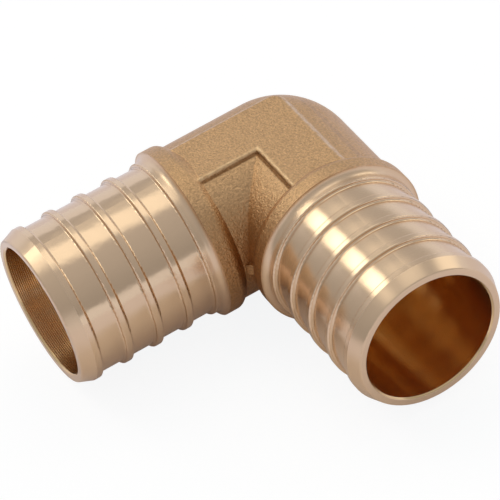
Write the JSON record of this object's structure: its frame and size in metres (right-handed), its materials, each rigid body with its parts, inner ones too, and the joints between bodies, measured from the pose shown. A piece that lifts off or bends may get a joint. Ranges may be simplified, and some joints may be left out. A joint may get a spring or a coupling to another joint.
{
  "type": "crimp elbow fitting",
  "caption": "Right-angle brass elbow for plastic water pipe, with ribbed insert ends for crimp rings, raised stop collars, a ball-shaped outer corner and flat pads above and below.",
  "frame": {"origin": "crossing of the two bore axes", "axes": "-Y out of the front arm's bore, -X out of the left arm's bore, +Z square to both, out of the upper flat pad"},
  "size_m": [0.0486, 0.0486, 0.024],
  "materials": {
    "brass": "turned arms, matt forged body"
  },
  "bodies": {
    "root": {"elbow_body": "brass"}
  },
  "joints": []
}
